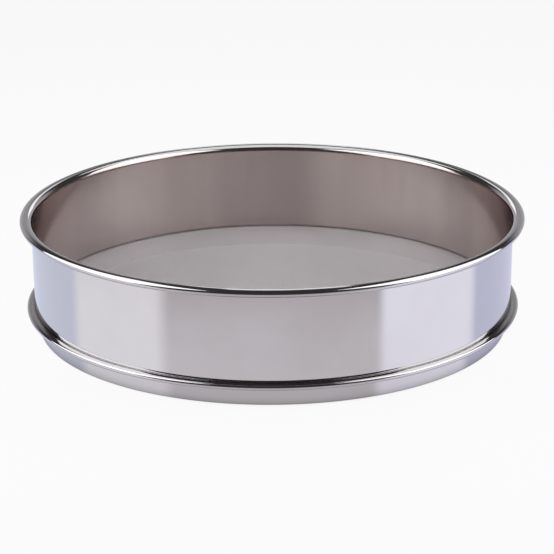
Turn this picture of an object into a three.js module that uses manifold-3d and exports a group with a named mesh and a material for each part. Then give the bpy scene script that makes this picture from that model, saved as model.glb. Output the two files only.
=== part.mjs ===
// A round flour sieve of stamped stainless sheet. A drum wall with a hollow rolled rim stands on a taut disc
// of woven wire cloth. A stepped-in skirt below carries the cloth, and its hem folds over the wall's flange.
// Millimetres, +Z up. The origin is the centre of the foot circle, on the surface the sieve stands on.
import * as THREE from "three";
import { mergeGeometries, mergeVertices } from "three/addons/utils/BufferGeometryUtils.js";
import Module from "manifold-3d";

const wasm = await Module();
wasm.setup();

// Driving dimensions
const innerRadius = 100; // clear inside of the drum
const overallHeight = 48; // foot to the crown of the rim
const sheet = 0.6; // stainless sheet of the wall and of the skirt
const bendRadius = 0.4; // inside of every sharp bend in the sheet

const rimHollowWidth = 4.1; // inside of the oval rim roll, along the radius
const rimHollowHeight = 2; // inside of the oval rim roll, along the axis
const rimFlareHeight = 2.8; // how far below the crown the wall starts to curve outward
const rimCrownReach = 3.1; // inside of the wall to the crown, along the radius
const rimRollUnder = 120; // degrees that the sheet turns on from its outermost edge, under and back in

const clothThickness = 0.4; // two wire diameters of plain weave
const clothSeatHeight = 8.1; // foot to the underside of the cloth
const openingsAcross = 12; // openings across the drum, a coarse grid that stands for the fine weave
const gridReach = 0.948; // half width of the grid, as a share of the inner radius
const openingShare = 0.72; // side of an opening, as a share of the grid's pitch
const gridMargin = 1.5; // least distance from an opening to the inside of the wall

const hemFlat = 1.5; // flat top of the hem, from its cut edge to its fold
const hemWallGap = 0.2; // open groove between the hem's cut edge and the wall's bend
const foldClearance = 0.2; // how far the cloth and the wall's flange stop short of the hem's fold

const nestClearance = 0.6; // skirt to the inside of an equal drum, just under the skirt's flange
const skirtTaper = 0.6; // how much nearer the axis the skirt is at its foot

const turnSegments = 72; // facets round the drum
const bendSteps = 3; // facets of a bend
const rollStepAngle = 18; // degrees for a facet of the rim roll and of the hem's fold

// Heights, radii and centres that follow from them
const flangeUnderside = clothSeatHeight + clothThickness;
const flangeTop = flangeUnderside + sheet;
const rimRollHalfWidth = rimHollowWidth / 2 + sheet;
const rimRollHalfHeight = rimHollowHeight / 2 + sheet;
const rimRollCentre = new THREE.Vector2(innerRadius + rimRollHalfWidth, overallHeight - rimRollHalfHeight);
const rimCrownRadius = innerRadius + rimCrownReach;
const rimFlareBase = overallHeight - rimFlareHeight;
const hemInside = (clothThickness + sheet) / 2;
const hemOutside = hemInside + sheet;
const hemCutRadius = innerRadius + sheet + bendRadius + hemWallGap;
const hemFold = new THREE.Vector2(hemCutRadius + hemFlat, clothSeatHeight + hemInside);
const clampedRadius = hemFold.x - foldClearance;
const skirtTopRadius = innerRadius - nestClearance;
const skirtFootRadius = skirtTopRadius - skirtTaper;

const polishedSteel = { color: 0xc9c7c9, roughness: 0.12, metalness: 1 };
const wireCloth = { color: 0xaaa5a6, roughness: 0.45, metalness: 1 };

// Points of an elliptical arc in the drum's section, from one angle to another in degrees.
function arc(centre, halfWidth, halfHeight, from, to, steps) {
  const points = [];
  for (let i = 0; i <= steps; i++) {
    const angle = THREE.MathUtils.degToRad(from + ((to - from) * i) / steps);
    const radius = centre.x + halfWidth * Math.cos(angle);
    const height = centre.y + halfHeight * Math.sin(angle);
    points.push(new THREE.Vector2(radius, height));
  }
  return points;
}

// A named piece in its own finish.
function piece(name, geometry, finish) {
  const mesh = new THREE.Mesh(geometry, new THREE.MeshStandardMaterial(finish));
  mesh.name = name;
  return mesh;
}

// A ring turned about +Z from a section that runs anticlockwise, with radius as x and height as y.
function turned(section) {
  const geometry = new THREE.LatheGeometry([...section, section[0].clone()], turnSegments);
  return geometry.rotateX(Math.PI / 2);
}

// One face of the rolled rim, some depth into the sheet: out from the wall, over the crown and under.
function rimFace(depth) {
  const flareCentre = new THREE.Vector2(rimCrownRadius, rimFlareBase);
  const shoulderCentre = new THREE.Vector2(rimCrownRadius, rimRollCentre.y);
  const shoulderWidth = 2 * rimRollHalfWidth - rimCrownReach - depth;
  const halfWidth = rimRollHalfWidth - depth;
  const halfHeight = rimRollHalfHeight - depth;
  const quarterSteps = Math.round(90 / rollStepAngle);
  const underSteps = Math.round(rimRollUnder / rollStepAngle);
  return [
    ...arc(flareCentre, rimCrownReach - depth, rimFlareHeight - depth, 180, 90, quarterSteps),
    ...arc(shoulderCentre, shoulderWidth, halfHeight, 90, 0, quarterSteps).slice(1),
    ...arc(rimRollCentre, halfWidth, halfHeight, 0, -rimRollUnder, underSteps).slice(1),
  ];
}

// The drum: flange, bend, wall and rolled rim in one sheet, up the outside and down the inside.
function upperFrame() {
  const bendCentre = new THREE.Vector2(innerRadius + sheet + bendRadius, flangeTop + bendRadius);
  const section = [
    new THREE.Vector2(clampedRadius, flangeUnderside),
    new THREE.Vector2(clampedRadius, flangeTop),
    ...arc(bendCentre, bendRadius, bendRadius, 270, 180, bendSteps),
    ...rimFace(sheet),
    ...rimFace(0).reverse(),
    ...arc(bendCentre, bendRadius + sheet, bendRadius + sheet, 180, 270, bendSteps),
  ];
  return piece("upper_frame", turned(section), polishedSteel);
}

// A closed geometry as a solid that can be cut.
function solidOf(geometry) {
  geometry.deleteAttribute("normal");
  geometry.deleteAttribute("uv");
  const welded = mergeVertices(geometry);
  const vertProperties = new Float32Array(welded.attributes.position.array);
  const triVerts = new Uint32Array(welded.index.array);
  return new wasm.Manifold(new wasm.Mesh({ numProp: 3, vertProperties, triVerts }));
}

// A cut solid as a geometry again.
function geometryOf(solid) {
  const { vertProperties, triVerts } = solid.getMesh();
  const geometry = new THREE.BufferGeometry();
  geometry.setAttribute("position", new THREE.BufferAttribute(vertProperties, 3));
  geometry.setIndex(new THREE.BufferAttribute(triVerts, 1));
  geometry.computeVertexNormals();
  return geometry;
}

// The disc of woven cloth, clamped between the two flanges, with square openings cut in rows inside the drum.
function meshScreen() {
  const middle = clothSeatHeight + clothThickness / 2;
  const disc = new THREE.CylinderGeometry(clampedRadius, clampedRadius, clothThickness, turnSegments);
  disc.rotateX(Math.PI / 2).translate(0, 0, middle);
  const pitch = (2 * innerRadius * gridReach) / openingsAcross;
  const side = pitch * openingShare;
  const openings = [];
  for (let i = 0; i < openingsAcross ** 2; i++) {
    const x = ((i % openingsAcross) - (openingsAcross - 1) / 2) * pitch;
    const y = (Math.floor(i / openingsAcross) - (openingsAcross - 1) / 2) * pitch;
    if (Math.hypot(Math.abs(x) + side / 2, Math.abs(y) + side / 2) > innerRadius - gridMargin) continue;
    openings.push(new THREE.BoxGeometry(side, side, 2 * clothThickness).translate(x, y, middle));
  }
  const cut = solidOf(disc).subtract(solidOf(mergeGeometries(openings)));
  return piece("mesh_screen", geometryOf(cut), wireCloth);
}

// The skirt: a tapered ring that nests into a pan, a flange under the cloth, and a flat hem over the seam.
function lowerSkirt() {
  const foldSteps = Math.round(180 / rollStepAngle);
  const flangeBase = clothSeatHeight - sheet;
  const bendCentre = new THREE.Vector2(skirtTopRadius + bendRadius, flangeBase - bendRadius);
  const section = [
    new THREE.Vector2(skirtFootRadius - sheet, 0),
    new THREE.Vector2(skirtFootRadius, 0),
    ...arc(bendCentre, bendRadius, bendRadius, 180, 90, bendSteps),
    ...arc(hemFold, hemOutside, hemOutside, -90, 90, foldSteps),
    new THREE.Vector2(hemCutRadius, hemFold.y + hemOutside),
    new THREE.Vector2(hemCutRadius, hemFold.y + hemInside),
    ...arc(hemFold, hemInside, hemInside, 90, -90, foldSteps),
    ...arc(bendCentre, bendRadius + sheet, bendRadius + sheet, 90, 180, bendSteps),
  ];
  return piece("lower_skirt", turned(section), polishedSteel);
}

const sieve = new THREE.Group();
sieve.add(upperFrame(), meshScreen(), lowerSkirt());

export default sieve;
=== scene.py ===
# %% [markdown]
# A polished flour sieve. Two pressed rings of thin stainless sheet hold a taut disc of woven wire. The
# drum above has a flared and rolled rim, and the skirt below has a hem that folds over the drum's flange
# at the seam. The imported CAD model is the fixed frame: the main heights and radii come from it, and
# nothing here moves it.

# %% Load the frame
import math

import bpy
import numpy as np
from mathutils import Euler, Matrix, Vector


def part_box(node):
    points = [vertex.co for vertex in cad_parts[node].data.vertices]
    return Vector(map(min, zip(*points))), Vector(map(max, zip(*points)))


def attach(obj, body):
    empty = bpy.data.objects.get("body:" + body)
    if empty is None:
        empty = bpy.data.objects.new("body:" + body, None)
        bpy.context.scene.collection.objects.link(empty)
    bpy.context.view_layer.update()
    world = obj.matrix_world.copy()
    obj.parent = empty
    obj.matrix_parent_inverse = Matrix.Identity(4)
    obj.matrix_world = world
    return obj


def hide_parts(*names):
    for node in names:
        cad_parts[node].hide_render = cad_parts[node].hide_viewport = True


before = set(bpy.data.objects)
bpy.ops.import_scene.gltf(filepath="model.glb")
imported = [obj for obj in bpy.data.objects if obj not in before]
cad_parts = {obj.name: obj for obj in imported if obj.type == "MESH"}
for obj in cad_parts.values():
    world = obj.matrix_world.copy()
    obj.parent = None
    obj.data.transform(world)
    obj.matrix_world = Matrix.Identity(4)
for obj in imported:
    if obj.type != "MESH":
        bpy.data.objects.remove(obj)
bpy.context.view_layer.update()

# %% [markdown]
# The sizes come from the frame's own nodes. The drum's box gives the crown and the outermost edge of the
# rim, the cloth's box gives the seam, and the skirt's box gives the fold of the hem. Reading the CAD
# meshes point by point would work too, but a box is enough for a turned shape. What no box holds, such as
# the sheet's gauge, is written as a real size in metres.

# %% Sizes from the frame
SHEET = 0.0006
HALF_SHEET = SHEET / 2
BEND = 0.0004
DRUM_RADIUS = 0.1

drum_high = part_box("upper_frame")[1]
skirt_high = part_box("lower_skirt")[1]
cloth_low, cloth_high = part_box("mesh_screen")
cloth_radius = cloth_high.x
print(f"rim {drum_high.x * 2000:.1f} mm across, its crown at {drum_high.z * 1000:.1f} mm")
print(f"cloth from {cloth_low.z * 1000:.1f} to {cloth_high.z * 1000:.1f} mm up")
print(f"hem {skirt_high.x * 2000:.1f} mm across, its top at {skirt_high.z * 1000:.1f} mm")

# %% [markdown]
# A pressed ring has the same section all the way round. It could be put together from cylinders and tori,
# but then every bend would be a joint to hide. So it is made as on a lathe. The section is drawn as one
# line, the middle of the sheet, by extruding a vertex from point to point.

# %% Draw a section
BEND_STEP = 15
ROLL_STEP = 6


def clear_selection():
    """Leaves object mode with nothing selected, because every operator acts on all that is."""
    if bpy.context.object and bpy.context.object.mode != "OBJECT":
        bpy.ops.object.mode_set(mode="OBJECT")
    bpy.ops.object.select_all(action="DESELECT")


def arc(radius, height, half_width, half_height, start, end, step):
    """Points of an elliptical arc in the section, as (radius, height), with all angles in degrees."""
    count = max(1, round(abs(end - start) / step))
    angles = [math.radians(start + (end - start) * i / count) for i in range(count + 1)]
    return [(radius + half_width * math.cos(a), height + half_height * math.sin(a)) for a in angles]


def draw_section(name, points):
    """A line through the section's points, in the plane y = 0, extruded one point at a time."""
    clear_selection()
    bpy.ops.mesh.primitive_plane_add(size=SHEET)
    piece = bpy.context.object
    piece.name = name
    bpy.ops.object.mode_set(mode="EDIT")
    bpy.ops.mesh.merge(type="CENTER")
    first = Vector((points[0][0], 0, points[0][1]))
    bpy.ops.transform.translate(value=first)
    for (r0, z0), (r1, z1) in zip(points, points[1:]):
        bpy.ops.mesh.extrude_region_move(TRANSFORM_OT_translate={"value": (r1 - r0, 0, z1 - z0)})
    return piece


print("a square bend has", len(arc(0, 0, BEND, BEND, 0, 90, BEND_STEP)) - 1, "facets")

# %% [markdown]
# Spin turns the line into a skin, Solidify gives the skin the sheet's thickness on both sides, and Bevel
# breaks the sharp cut edges. A Screw modifier would turn the line as well. The operator is used because
# its skin can be merged and its normals made consistent before the sheet gets its thickness, which keeps
# the inner face the right way out.

# %% Spin a sheet
SPIN_STEPS = 288
EDGE_BREAK = 0.0001
CUT_EDGE_ANGLE = 60


def spin_sheet(piece):
    """Turns the drawn line about the drum's axis and gives it the sheet's thickness."""
    bpy.ops.mesh.select_all(action="SELECT")
    bpy.ops.mesh.spin(steps=SPIN_STEPS, angle=math.tau, center=(0, 0, 0), axis=(0, 0, 1))
    bpy.ops.mesh.select_all(action="SELECT")
    bpy.ops.mesh.remove_doubles(threshold=SHEET / 100)
    bpy.ops.mesh.normals_make_consistent(inside=False)
    bpy.ops.object.mode_set(mode="OBJECT")
    wall = piece.modifiers.new("sheet", "SOLIDIFY")
    wall.thickness = SHEET
    wall.offset = 0
    wall.use_even_offset = True
    bpy.ops.object.modifier_apply(modifier=wall.name)
    edge = piece.modifiers.new("edge break", "BEVEL")
    edge.width = EDGE_BREAK
    edge.segments = 2
    edge.limit_method = "ANGLE"
    edge.angle_limit = math.radians(CUT_EDGE_ANGLE)
    bpy.ops.object.modifier_apply(modifier=edge.name)
    bpy.ops.object.shade_smooth()
    print(piece.name, "has", len(piece.data.polygons), "faces")


print(f"a facet of the drum is {math.tau * DRUM_RADIUS / SPIN_STEPS * 1000:.2f} mm wide")

# %% [markdown]
# The drum. Its line starts at the outer edge of the flange, runs in under the wall and turns up through a
# tight bend. It climbs the wall, flares out to the crown, then rolls down and under, back towards the
# wall. Flare, shoulder and roll are three elliptical arcs that meet level or upright, so that the polish
# shows no crease. Two extra points near the ends of the wall hold the smooth shading of the bends off the
# flat sheet. The rim is drawn a hair inside its box, because Solidify sets the corners of a faceted bend
# a little further out than its faces.

# %% Drum sheet
RIM_FLARE_HEIGHT = 0.0028
RIM_CROWN_RADIUS = 0.1031
RIM_ROLL_HEIGHT = 0.0032
RIM_ROLL_END = -120
SKIN_MARGIN = 0.000002
HOLD = 0.0005

bend_middle = BEND + HALF_SHEET
bend_radius = DRUM_RADIUS + SHEET + BEND
bend_height = cloth_high.z + SHEET + BEND
wall_middle = DRUM_RADIUS + HALF_SHEET
rim_radius = drum_high.x - SKIN_MARGIN
rim_height = drum_high.z - SKIN_MARGIN
flare_base = rim_height - RIM_FLARE_HEIGHT
flare_reach = RIM_CROWN_RADIUS - wall_middle
flare_rise = RIM_FLARE_HEIGHT - HALF_SHEET
shoulder_reach = rim_radius - HALF_SHEET - RIM_CROWN_RADIUS
roll_half_width = (rim_radius - DRUM_RADIUS) / 2
roll_radius = DRUM_RADIUS + roll_half_width
roll_reach = roll_half_width - HALF_SHEET
roll_rise = RIM_ROLL_HEIGHT / 2 - HALF_SHEET
roll_height = rim_height - RIM_ROLL_HEIGHT / 2

drum_line = [(cloth_radius, cloth_high.z + HALF_SHEET)]
drum_line += arc(bend_radius, bend_height, bend_middle, bend_middle, 270, 180, BEND_STEP)
drum_line += [(wall_middle, bend_height + HOLD), (wall_middle, flare_base - HOLD)]
drum_line += arc(RIM_CROWN_RADIUS, flare_base, flare_reach, flare_rise, 180, 90, ROLL_STEP)[:-1]
drum_line += arc(RIM_CROWN_RADIUS, roll_height, shoulder_reach, roll_rise, 90, 0, ROLL_STEP)[:-1]
drum_line += arc(roll_radius, roll_height, roll_reach, roll_rise, 0, RIM_ROLL_END, ROLL_STEP)
drum = draw_section("drum_sheet", drum_line)
spin_sheet(drum)

# %% [markdown]
# The skirt. Its line climbs from the foot with a slight taper, turns out under the cloth, folds back over
# the drum's flange and lies flat on it as the hem. The hem could be a separate ring, but on a real sieve
# the fold is what holds the seam shut, so it is one sheet here too. The first step up is plumb, so that
# the cut foot lies flat on the table.

# %% Skirt sheet
NEST_CLEARANCE = 0.0006
SKIRT_TAPER = 0.0006
FOOT_STEP = 0.0004
HEM_GROOVE = 0.0002
FOLD_STEP = 9

hem_outside = (skirt_high.z - cloth_low.z + SHEET) / 2
hem_middle = hem_outside - HALF_SHEET
hem_height = skirt_high.z - hem_outside
hem_top = hem_height + hem_middle
fold_radius = skirt_high.x - hem_outside
skirt_radius = DRUM_RADIUS - NEST_CLEARANCE
skirt_middle = skirt_radius - HALF_SHEET
foot_middle = skirt_middle - SKIRT_TAPER
skirt_bend_radius = skirt_radius + BEND
skirt_bend_height = cloth_low.z - SHEET - BEND
taper_at_hold = SKIRT_TAPER * HOLD / skirt_bend_height

skirt_line = [(foot_middle, 0), (foot_middle, FOOT_STEP)]
skirt_line += [(skirt_middle - taper_at_hold, skirt_bend_height - HOLD)]
skirt_line += arc(skirt_bend_radius, skirt_bend_height, bend_middle, bend_middle, 180, 90, BEND_STEP)
skirt_line += arc(fold_radius, hem_height, hem_middle, hem_middle, -90, 90, FOLD_STEP)
skirt_line += [(fold_radius - HOLD, hem_top), (bend_radius + HEM_GROOVE, hem_top)]
skirt = draw_section("skirt_sheet", skirt_line)
spin_sheet(skirt)

# %% [markdown]
# The cloth is plain weave: each wire goes over one crossing wire and under the next. A flat disc with a
# picture of a grid would be cheaper, but the wires' own glints and gaps give the cloth its sheen, so
# every wire is real. One wave of one wire is drawn from a four-sided ring, extruded down and up again.
# Array modifiers repeat the wave along the wire, and then a pair of wires, half a wave apart, across a
# strip.

# %% Woven strip
PITCH = 0.000635
STRIPS = 5
PAIRS_PER_STRIP = 33

wire_radius = (cloth_high.z - cloth_low.z) / 4
wires_per_strip = 2 * PAIRS_PER_STRIP
half_wires = STRIPS * wires_per_strip / 2


def one_wave():
    """One wave of warp wire along X, from crest through trough to crest, with open ends."""
    clear_selection()
    bpy.ops.mesh.primitive_circle_add(vertices=4, radius=wire_radius, rotation=(0, math.pi / 2, 0))
    wire = bpy.context.object
    bpy.ops.object.transform_apply(rotation=True)
    bpy.ops.object.mode_set(mode="EDIT")
    bpy.ops.transform.translate(value=(-half_wires * PITCH, -half_wires * PITCH, wire_radius))
    for drop in (-2 * wire_radius, 2 * wire_radius):
        bpy.ops.mesh.extrude_region_move(TRANSFORM_OT_translate={"value": (PITCH, 0, drop)})
    bpy.ops.object.mode_set(mode="OBJECT")
    return wire


def repeat(piece, count, offset, merge=False):
    """Copies the piece along an offset with an Array modifier, and applies it."""
    rows = piece.modifiers.new("rows", "ARRAY")
    rows.count = count
    rows.use_relative_offset = False
    rows.use_constant_offset = True
    rows.constant_offset_displace = offset
    rows.use_merge_vertices = merge
    rows.merge_threshold = wire_radius / 10
    bpy.ops.object.modifier_apply(modifier=rows.name)


strip = one_wave()
repeat(strip, int(half_wires) + 1, (2 * PITCH, 0, 0), merge=True)
repeat(strip, 2, (-PITCH, PITCH, 0))
repeat(strip, PAIRS_PER_STRIP, (0, 2 * PITCH, 0))
print("one strip has", wires_per_strip, "wires and", len(strip.data.vertices), "points")

# %% [markdown]
# Trimming. On the real sieve the cloth is cut as a disc and its ends are hidden in the seam. A boolean
# would cut every wire exactly, but slowly. So every point outside the disc is selected by its distance
# from the axis and deleted. What is left of each wire is an open tube, and filling its four-sided end
# makes it a closed solid again.

# %% Trim helpers
END_MARGIN = 0.0006
trim_radius = cloth_radius - END_MARGIN


def copy_of(piece, name):
    """A copy with its own mesh, alone selected and active."""
    clear_selection()
    twin = piece.copy()
    twin.data = piece.data.copy()
    twin.name = name
    bpy.context.collection.objects.link(twin)
    twin.select_set(True)
    bpy.context.view_layer.objects.active = twin
    return twin


def trim_to_disc(piece, radius):
    """Deletes the points outside the radius and closes the wire ends."""
    places = np.empty(len(piece.data.vertices) * 3, np.float32)
    piece.data.vertices.foreach_get("co", places)
    places = places.reshape(-1, 3)
    outside = np.hypot(places[:, 0], places[:, 1]) > radius
    bpy.ops.object.mode_set(mode="EDIT")
    bpy.ops.mesh.select_all(action="DESELECT")
    bpy.ops.object.mode_set(mode="OBJECT")
    piece.data.vertices.foreach_set("select", outside)
    bpy.ops.object.mode_set(mode="EDIT")
    bpy.ops.mesh.delete(type="VERT")
    bpy.ops.mesh.select_all(action="SELECT")
    bpy.ops.mesh.delete_loose(use_verts=True, use_edges=True, use_faces=False)
    bpy.ops.mesh.select_all(action="SELECT")
    bpy.ops.mesh.fill_holes(sides=4)
    bpy.ops.mesh.select_all(action="SELECT")
    bpy.ops.mesh.normals_make_consistent(inside=False)
    bpy.ops.object.mode_set(mode="OBJECT")


print(f"the cloth is trimmed to {trim_radius * 2000:.1f} mm across")

# %% [markdown]
# Strips side by side make the warp. The weft could be drawn anew, but a copy of each strip is sure to
# fit: it is turned over about the diagonal, so that a crest becomes a trough and the wires interlace. The
# whole cloth then turns by 5 degrees. The wall mirrors the cloth, and its glints change with the angle:
# at this one the inside wall shows the light and dark zones of the real sieve.

# %% Warp and weft
WEAVE_ANGLE = 5

cloth = []
cloth_middle = (cloth_high.z + cloth_low.z) / 2
turn_over = Matrix(((0, 1, 0), (1, 0, 0), (0, 0, -1))).to_4x4()
to_place = Matrix.Translation((0, 0, cloth_middle)) @ Matrix.Rotation(math.radians(WEAVE_ANGLE), 4, "Z")
for number in range(STRIPS):
    warp = copy_of(strip, f"cloth_warp_{number + 1}")
    warp.location.y = number * wires_per_strip * PITCH
    bpy.ops.object.transform_apply(location=True)
    trim_to_disc(warp, trim_radius)
    bpy.ops.object.shade_smooth()
    weft = copy_of(warp, f"cloth_weft_{number + 1}")
    weft.data.transform(turn_over)
    for band in (warp, weft):
        band.data.transform(to_place)
        cloth.append(band)
bpy.data.objects.remove(strip)
print("cloth:", len(cloth), "bands,", sum(len(band.data.polygons) for band in cloth), "faces")

# %% [markdown]
# Finishes. Polished stainless is a mirror with history: buffing leaves fine lines round the drum, hands
# leave soft smudges, and the sheet is never perfectly flat. Photographs of steel could be wrapped round
# the pieces, but nodes need no file and hold up at any distance. These helpers make and join the nodes.

# %% Node helpers
def connect(tree, socket, value):
    """Joins an input to a socket, or sets it to a number or a colour."""
    if isinstance(value, bpy.types.NodeSocket):
        tree.links.new(value, socket)
    elif isinstance(value, tuple):
        socket.default_value = (*value, 1)
    else:
        socket.default_value = value


def maths(tree, operation, *values):
    """A Math node whose inputs are sockets or numbers."""
    node = tree.nodes.new("ShaderNodeMath")
    node.operation = operation
    for socket, value in zip(node.inputs, values):
        connect(tree, socket, value)
    return node.outputs[0]


def mix_colours(tree, factor, first, second, blend="MIX"):
    """A colour mix whose factor is a socket or a number, and whose colours are sockets or tuples."""
    node = tree.nodes.new("ShaderNodeMix")
    node.data_type = "RGBA"
    node.blend_type = blend
    connect(tree, node.inputs["Factor"], factor)
    connect(tree, node.inputs["A"], first)
    connect(tree, node.inputs["B"], second)
    return node.outputs["Result"]


def new_group(name, inputs, outputs):
    """An empty shader node group with named float or vector sockets."""
    group = bpy.data.node_groups.new(name, "ShaderNodeTree")
    for label, kind in inputs:
        group.interface.new_socket(label, in_out="INPUT", socket_type=kind)
    for label, kind in outputs:
        group.interface.new_socket(label, in_out="OUTPUT", socket_type=kind)
    return group, group.nodes.new("NodeGroupInput"), group.nodes.new("NodeGroupOutput")


print("node helpers:", [helper.__name__ for helper in (connect, maths, mix_colours, new_group)])

# %% [markdown]
# Two node groups hold what the steels share. Each material could hold its own nodes for them, but a group
# is built once and changed in one place. A buffing wheel runs round the drum, so the first group
# stretches noise along the turn: it reads the direction from the axis slowly and the distance climbed up
# the sheet fast. The second makes cloudy smudges, with a Map Range that leaves most of the steel clean.

# %% Node groups
def buffing_lines():
    """Fine lines round the drum's axis, from 0 to 1, from Object coordinates."""
    group, given, result = new_group(
        "buffing lines",
        [("Vector", "NodeSocketVector"), ("Lines per metre", "NodeSocketFloat")],
        [("Lines", "NodeSocketFloat")],
    )
    split = group.nodes.new("ShaderNodeSeparateXYZ")
    group.links.new(given.outputs["Vector"], split.inputs[0])
    x, y, z = split.outputs
    squares = maths(group, "ADD", maths(group, "MULTIPLY", x, x), maths(group, "MULTIPLY", y, y))
    radius = maths(group, "SQRT", squares)
    join = group.nodes.new("ShaderNodeCombineXYZ")
    group.links.new(maths(group, "DIVIDE", x, radius), join.inputs[0])
    group.links.new(maths(group, "DIVIDE", y, radius), join.inputs[1])
    climb = maths(group, "ADD", radius, z)
    group.links.new(maths(group, "MULTIPLY", climb, given.outputs["Lines per metre"]), join.inputs[2])
    noise = group.nodes.new("ShaderNodeTexNoise")
    noise.inputs["Scale"].default_value = 1
    noise.inputs["Detail"].default_value = 3
    group.links.new(join.outputs[0], noise.inputs["Vector"])
    group.links.new(noise.outputs["Fac"], result.inputs["Lines"])
    return group


def hand_smudges():
    """Soft cloudy patches, from 0 to 1, with a little fine grain inside them."""
    group, given, result = new_group(
        "hand smudges",
        [("Vector", "NodeSocketVector"), ("Patches per metre", "NodeSocketFloat")],
        [("Smudge", "NodeSocketFloat")],
    )
    noise = group.nodes.new("ShaderNodeTexNoise")
    noise.inputs["Detail"].default_value = 5
    noise.inputs["Roughness"].default_value = 0.55
    group.links.new(given.outputs["Vector"], noise.inputs["Vector"])
    group.links.new(given.outputs["Patches per metre"], noise.inputs["Scale"])
    limit = group.nodes.new("ShaderNodeMapRange")
    limit.inputs["From Min"].default_value = 0.45
    limit.inputs["From Max"].default_value = 0.75
    group.links.new(noise.outputs["Fac"], limit.inputs["Value"])
    group.links.new(limit.outputs["Result"], result.inputs["Smudge"])
    return group


lines_group = buffing_lines()
smudge_group = hand_smudges()
print("node groups:", lines_group.name, "and", smudge_group.name)

# %% [markdown]
# A steel finish is one Principled shader, so that it looks right under any light. Smudges and lines move
# its roughness a little. On sheet, the lines also press a very low bump into it, and a slow noise lets
# the reflections waver as they do on thin pressed metal. Wire is too thin for either. Specular Tint is
# the colour of a metal at grazing angles. Metallic is below 1 only for the cloth, where light goes from
# wire to wire and comes out soft.

# %% Steel finish
PATCHES_PER_METRE = 28
WAVES_PER_METRE = 22
WAVER_DEPTH = 6e-6


def place_group(tree, group, vector, label, value):
    """Puts a shared group into a material with its own value, and returns what the group makes."""
    node = tree.nodes.new("ShaderNodeGroup")
    node.node_tree = group
    node.inputs[label].default_value = value
    tree.links.new(vector, node.inputs["Vector"])
    return node.outputs[0]


def press_bump(tree, height, depth, under=None):
    """A bump of a real depth in metres, on top of another one if there is one."""
    node = tree.nodes.new("ShaderNodeBump")
    node.inputs["Strength"].default_value = 1
    node.inputs["Distance"].default_value = depth
    tree.links.new(height, node.inputs["Height"])
    if under is not None:
        tree.links.new(under, node.inputs["Normal"])
    return node.outputs["Normal"]


def steel(name, tint, smudged_tint, roughness, roughness_spread, lines_per_metre,
          metallic=1, edge_tint=(1, 1, 1), smudge_stretch=1, line_depth=0):
    """A procedural stainless finish with buffing lines and smudges, and bumps if the lines have a depth."""
    material = bpy.data.materials.new(name)
    material.use_nodes = True
    tree = material.node_tree
    shader = tree.nodes["Principled BSDF"]
    shader.inputs["Metallic"].default_value = metallic
    shader.inputs["Specular Tint"].default_value = (*edge_tint, 1)
    place = tree.nodes.new("ShaderNodeTexCoord").outputs["Object"]
    drawn_out = tree.nodes.new("ShaderNodeVectorMath")
    drawn_out.operation = "MULTIPLY"
    drawn_out.inputs[1].default_value = (1, 1, smudge_stretch)
    tree.links.new(place, drawn_out.inputs[0])

    lines = place_group(tree, lines_group, place, "Lines per metre", lines_per_metre)
    smudge = place_group(tree, smudge_group, drawn_out.outputs[0], "Patches per metre", PATCHES_PER_METRE)
    tree.links.new(mix_colours(tree, smudge, tint, smudged_tint), shader.inputs["Base Color"])
    smudged = maths(tree, "MULTIPLY_ADD", smudge, roughness_spread, roughness)
    smudged_and_lined = maths(tree, "MULTIPLY_ADD", lines, roughness_spread, smudged)
    tree.links.new(smudged_and_lined, shader.inputs["Roughness"])
    if line_depth:
        slow = tree.nodes.new("ShaderNodeTexNoise")
        slow.inputs["Scale"].default_value = WAVES_PER_METRE
        slow.inputs["Detail"].default_value = 1
        tree.links.new(place, slow.inputs["Vector"])
        waver = press_bump(tree, slow.outputs["Fac"], WAVER_DEPTH)
        tree.links.new(press_bump(tree, lines, line_depth, under=waver), shader.inputs["Normal"])
    return material


print(f"smudges {1000 / PATCHES_PER_METRE:.0f} mm apart, waves {1000 / WAVES_PER_METRE:.0f} mm apart")

# %% [markdown]
# Three steels. The outside is a mirror. The inside is duller and warmer, because the buffing wheel
# reaches it less well, and its smudges are drawn out into upright streaks. It also darkens at grazing
# angles, which shades the two ends of the wall. The wire is pale and soft, because hundreds of thin wires
# scatter the light. Each could have its own node tree, but one function with named settings keeps them
# alike and easy to compare.

# %% Three steels
mirror_sheet = steel(
    "mirror sheet",
    tint=(0.64, 0.63, 0.64),
    smudged_tint=(0.61, 0.595, 0.60),
    roughness=0.06,
    roughness_spread=0.03,
    lines_per_metre=9000,
    line_depth=2e-7,
)
satin_sheet = steel(
    "satin sheet",
    tint=(0.63, 0.56, 0.54),
    smudged_tint=(0.54, 0.475, 0.455),
    roughness=0.13,
    roughness_spread=0.05,
    lines_per_metre=7000,
    edge_tint=(0.74, 0.70, 0.70),
    smudge_stretch=0.1,
    line_depth=4e-7,
)
woven_wire = steel(
    "woven wire",
    tint=(0.96, 0.92, 0.93),
    smudged_tint=(0.91, 0.87, 0.88),
    roughness=0.30,
    roughness_spread=0.05,
    lines_per_metre=2500,
    metallic=0.4,
)
print("finishes:", [material.name for material in (mirror_sheet, satin_sheet, woven_wire)])

# %% [markdown]
# Each piece gets its finishes and its place in the frame, and the CAD node that it stands for is hidden.
# The drum has two finishes. Its inside could be a separate skin, but the sheet is one piece, so the faces
# that look at the axis are found by their normal and their place, and only they get the satin steel. The
# rim above them stays a mirror.

# %% Dress the pieces
def wear(piece, slot, node, *materials):
    """Gives a piece its finishes and its place in the frame, and hides the CAD node that it stands for."""
    piece.data.materials.clear()
    for material in materials:
        piece.data.materials.append(material)
    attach(piece, "root")
    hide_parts(node)


def is_inside_wall(face):
    """True for a face of the drum that looks at the axis and lies below the rim."""
    x, y, z = face.center
    looks_in = face.normal.x * x + face.normal.y * y < 0
    return looks_in and z < roll_height and math.hypot(x, y) < wall_middle


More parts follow.
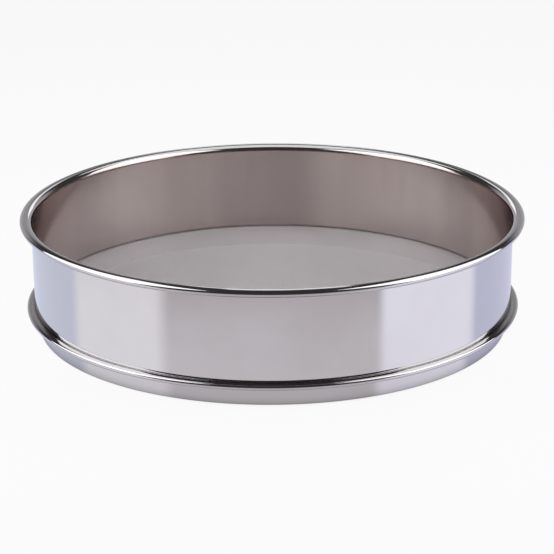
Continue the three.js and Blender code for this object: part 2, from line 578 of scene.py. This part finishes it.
wear(drum, "polished_sheet", "upper_frame", mirror_sheet, satin_sheet)
for face in drum.data.polygons:
    face.material_index = int(is_inside_wall(face))
wear(skirt, "polished_sheet", "lower_skirt", mirror_sheet)
for band in cloth:
    wear(band, "wire_cloth", "mesh_screen", woven_wire)
print(len(cloth) + 2, "pieces wear their finishes")

# %% [markdown]
# The camera stands where the photograph was taken from. It could be placed by eye, but the curve of a rim
# gives away a wrong lens. So its place, turn and lens were found by fitting the rim, seam and foot of the
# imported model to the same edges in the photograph.

# %% Camera
SENSOR_WIDTH = 36
CAMERA_LENS = 127.56
CAMERA_PLACE = (0, -0.7882, 0.2897)
CAMERA_PITCH = -19.066
CAMERA_YAW = -0.136
CAMERA_ROLL = -0.316

camera = bpy.data.objects.new("camera", bpy.data.cameras.new("camera"))
camera.data.sensor_width = SENSOR_WIDTH
camera.data.lens = CAMERA_LENS
aim = Euler((math.radians(90 + CAMERA_PITCH), 0, math.radians(CAMERA_YAW))).to_matrix()
aim_with_roll = aim @ Matrix.Rotation(math.radians(CAMERA_ROLL), 3, "Z")
camera.matrix_world = Matrix.Translation(CAMERA_PLACE) @ aim_with_roll.to_4x4()
bpy.context.collection.objects.link(camera)
bpy.context.scene.camera = camera
print("camera at", CAMERA_PLACE, "with a lens of", CAMERA_LENS, "mm")

# %% [markdown]
# A polished drum is a picture of its room, so the room matters more than the lamps. It could be a
# panorama photograph, but this script reads no file, so the world paints it with colour ramps. One ramp
# position goes round the sieve and one goes up, and two small helpers turn degrees into those positions.

# %% World helpers
OFF = (0, 0, 0)
ON = (1, 1, 1)
bpy.context.scene.view_settings.view_transform = "Standard"


def bearing(degrees):
    """A place on a ramp round the sieve: 0.5 in front, less on the left, more on the right."""
    return 0.5 + degrees / 360


def elevation(degrees):
    """A place on a ramp from straight down, at 0, through the horizon, at 0.5, to straight up."""
    return 0.5 + math.sin(math.radians(degrees)) / 2


def ramp(tree, position, stops):
    """A colour ramp over a value from 0 to 1."""
    node = tree.nodes.new("ShaderNodeValToRGB")
    band = node.color_ramp
    while len(band.elements) < len(stops):
        band.elements.new(1)
    for element, (where, colour) in zip(band.elements, stops):
        element.position = where
        element.color = (*colour, 1)
    tree.links.new(position, node.inputs["Fac"])
    return node.outputs["Color"]


def ray_direction(tree):
    """Where a ray of the world points, as the places on the ramps round and up."""
    split = tree.nodes.new("ShaderNodeSeparateXYZ")
    tree.links.new(tree.nodes.new("ShaderNodeTexCoord").outputs["Generated"], split.inputs[0])
    x, y, z = split.outputs
    turn = maths(tree, "ARCTAN2", x, maths(tree, "MULTIPLY", y, -1))
    around = maths(tree, "MULTIPLY_ADD", turn, 0.5 / math.pi, 0.5)
    up = maths(tree, "MULTIPLY_ADD", z, 0.5, 0.5)
    return around, up


print(f"45 degrees right is {bearing(45):.3f} on a ramp, 45 degrees up is {elevation(45):.3f}")

# %% [markdown]
# The outer wall mirrors the table. Cards stood round the sieve would give it its zones, as in a studio,
# but painted steps are quicker to move until each zone sits where it should. The table is greyer in
# front, bright on both sides and bluish behind. Its far part in front is darker still, and it dims
# straight down, into the sieve's own shade.

# %% Table in the world
FRONT_NEAR = (0.76, 0.735, 0.765)
FRONT_FAR = (0.57, 0.51, 0.53)
LEFT = (1.02, 1.0, 1.05)
LEFT_BACK = (0.75, 0.78, 0.92)
RIGHT = (1.09, 1.08, 1.19)
RIGHT_BACK = (0.71, 0.72, 0.90)
SHADE_BELOW = (0.70, 0.68, 0.68)
SHADE_AT_FOOT = (0.81, 0.80, 0.80)
FRONT_LEFT_EDGE = -48.96
FRONT_RIGHT_EDGE = 49.68


def table_round(tree, around, front):
    """The table round the sieve, from behind on the left, through the front, to behind on the right."""
    return ramp(tree, around, [
        (bearing(-109.44), LEFT_BACK),
        (bearing(-102.6), LEFT),
        (bearing(-56.16), LEFT),
        (bearing(FRONT_LEFT_EDGE), front),
        (bearing(FRONT_RIGHT_EDGE), front),
        (bearing(54), RIGHT),
        (bearing(106.2), RIGHT),
        (bearing(112.32), RIGHT_BACK),
    ])


def low_half(tree, around, up):
    """What the steel sees of the table, near and far, with its shade straight down."""
    is_far = ramp(tree, up, [(elevation(-20.24), OFF), (elevation(-19.57), ON)])
    near = table_round(tree, around, FRONT_NEAR)
    far = table_round(tree, around, FRONT_FAR)
    shade = ramp(tree, up, [(0, SHADE_BELOW), (elevation(-32), SHADE_AT_FOOT), (elevation(-22.33), ON)])
    return mix_colours(tree, 1, mix_colours(tree, is_far, near, far), shade, "MULTIPLY")


print(f"the front of the table spans {FRONT_RIGHT_EDGE - FRONT_LEFT_EDGE:.1f} degrees")

# %% [markdown]
# Above the table the room is dark, which draws the dark lines along the rim. Only behind, a wall fades
# from pale to dark, and there the table ends below the horizon. The camera sees none of this. A second
# world would need a second render, so Light Path picks out the camera's own rays, and for them the world
# is plain white.

# %% Room
PAPER_WHITE = (0.955, 0.955, 0.955)
DARK = (0.045, 0.04, 0.042)
WALL_GREY = (0.36, 0.35, 0.36)
WALL_PALE = (0.52, 0.5, 0.52)


def room():
    """The world: white to the camera, and a table, a wall behind and a dark ceiling to the steel."""
    world = bpy.data.worlds.new("room")
    bpy.context.scene.world = world
    world.use_nodes = True
    tree = world.node_tree
    around, up = ray_direction(tree)
    behind = ramp(tree, around, [
        (bearing(-144), ON),
        (bearing(-133.2), OFF),
        (bearing(133.2), OFF),
        (bearing(144), ON),
    ])
    wall = ramp(tree, up, [
        (elevation(0), WALL_PALE),
        (elevation(18.66), WALL_GREY),
        (elevation(26.1), DARK),
    ])
    high_half = mix_colours(tree, behind, DARK, wall)
    over_front = ramp(tree, up, [(elevation(-0.57), OFF), (elevation(0.57), ON)])
    over_back = ramp(tree, up, [(elevation(-18.06), OFF), (elevation(-16.26), ON)])
    is_high = mix_colours(tree, behind, over_front, over_back)
    seen_by_steel = mix_colours(tree, is_high, low_half(tree, around, up), high_half)
    to_camera = tree.nodes.new("ShaderNodeLightPath").outputs["Is Camera Ray"]
    colour = mix_colours(tree, to_camera, seen_by_steel, PAPER_WHITE)
    tree.links.new(colour, tree.nodes["Background"].inputs["Color"])
    print("room with", len(tree.nodes), "nodes")


room()

# %% [markdown]
# The bright lines of the rim are mirror pictures of lamps. A spot would draw only a point on so tight a
# curve, so the lamps are soft panels. One large panel on each side lights the whole sieve. A small one
# above the back and one behind give the rim its thin bright lines.

# %% Light panels
SIDE_REACH = 0.36


def light_panel(name, place, aim, size, watts):
    """A soft rectangular light, hidden from the camera."""
    light = bpy.data.lights.new(name, "AREA")
    light.shape = "RECTANGLE"
    light.size, light.size_y = size
    light.energy = watts
    lamp = bpy.data.objects.new(name, light)
    lamp.location = place
    lamp.rotation_euler = (Vector(aim) - lamp.location).to_track_quat("-Z", "Y").to_euler()
    lamp.visible_camera = False
    bpy.context.collection.objects.link(lamp)
    print(f"{name}: {size[0]} by {size[1]} m, {watts} W")


for name, reach in (("left panel", -SIDE_REACH), ("right panel", SIDE_REACH)):
    light_panel(name, place=(reach, -0.05, 0.30), aim=(0, -0.03, 0.03), size=(0.5, 0.5), watts=1.35)
light_panel("roof panel", place=(0.01, 0.112, 0.197), aim=(0.01, 0.112, 0), size=(0.08, 0.15), watts=0.038)
light_panel("back panel", place=(-0.003, 0.45, 0.228), aim=(-0.003, 0, 0.1), size=(0.1, 0.17), watts=0.052)

# %% [markdown]
# The table top. A plain white plane would turn grey in the picture and would hide the painted table from
# the steel. So it has three faces, told apart by Light Path. The camera sees it glow almost white, with a
# trace of the sieve's shadow. Under the cloth the glow is turned down, a painted shade that lets the matt
# surface's own shade show. The steel's mirror rays pass through it, dimmed by a painted soft shadow round
# the foot. All other light meets a pale matt surface.

# %% Table top
TABLE_SIZE = 12
TABLE_DROP = 0.0002
TABLE_PALE = 0.85
TABLE_ROUGHNESS = 0.9
SHADOW_SPAN = 2 * DRUM_RADIUS


def by_radius(tree, stops):
    """A grey ramp over the distance from the axis, with its stops in metres."""
    from_axis = tree.nodes.new("ShaderNodeVectorMath")
    from_axis.operation = "LENGTH"
    tree.links.new(tree.nodes.new("ShaderNodeTexCoord").outputs["Object"], from_axis.inputs[0])
    share = maths(tree, "DIVIDE", from_axis.outputs["Value"], SHADOW_SPAN)
    return ramp(tree, share, [(radius / SHADOW_SPAN, (grey, grey, grey)) for radius, grey in stops])


def mix_shaders(tree, factor, first, second):
    """A mix of two shader nodes by a socket's value."""
    node = tree.nodes.new("ShaderNodeMixShader")
    tree.links.new(factor, node.inputs["Fac"])
    tree.links.new(first.outputs[0], node.inputs[1])
    tree.links.new(second.outputs[0], node.inputs[2])
    return node


def pale_table():
    """The table's material, with one face for the camera, one for mirror rays and one for other light."""
    material = bpy.data.materials.new("pale table")
    material.use_nodes = True
    tree = material.node_tree
    matt = tree.nodes["Principled BSDF"]
    matt.inputs["Base Color"].default_value = (TABLE_PALE, TABLE_PALE, TABLE_PALE, 1)
    matt.inputs["Roughness"].default_value = TABLE_ROUGHNESS
    rays = tree.nodes.new("ShaderNodeLightPath").outputs
    glow = tree.nodes.new("ShaderNodeEmission")
    # Painted shade under the cloth: the camera's glow is turned down inside the foot, so the matt surface
    # shows there.
    glow_cut_by_painted_shade = by_radius(tree, [(0.097, 0.15), (0.099, 0.93)])
    to_camera = mix_shaders(tree, maths(tree, "MULTIPLY", rays["Is Camera Ray"], glow_cut_by_painted_shade), matt, glow)
    shadow = tree.nodes.new("ShaderNodeBsdfTransparent")
    # Painted shadow round the foot, laid on the mirror rays that pass through the table.
    foot_shadow = by_radius(tree, [(0.099, 0.55), (0.101, 0.75), (0.104, 0.92), (0.108, 1)])
    tree.links.new(foot_shadow, shadow.inputs["Color"])
    to_steel = mix_shaders(tree, rays["Is Glossy Ray"], to_camera, shadow)
    tree.links.new(to_steel.outputs[0], tree.nodes["Material Output"].inputs["Surface"])
    return material


clear_selection()
bpy.ops.mesh.primitive_plane_add(size=TABLE_SIZE, location=(0, 0, -TABLE_DROP))
top = bpy.context.object
top.name = "table"
top.data.materials.append(pale_table())
print("table", TABLE_SIZE, "m wide,", TABLE_DROP * 1000, "mm under the foot")
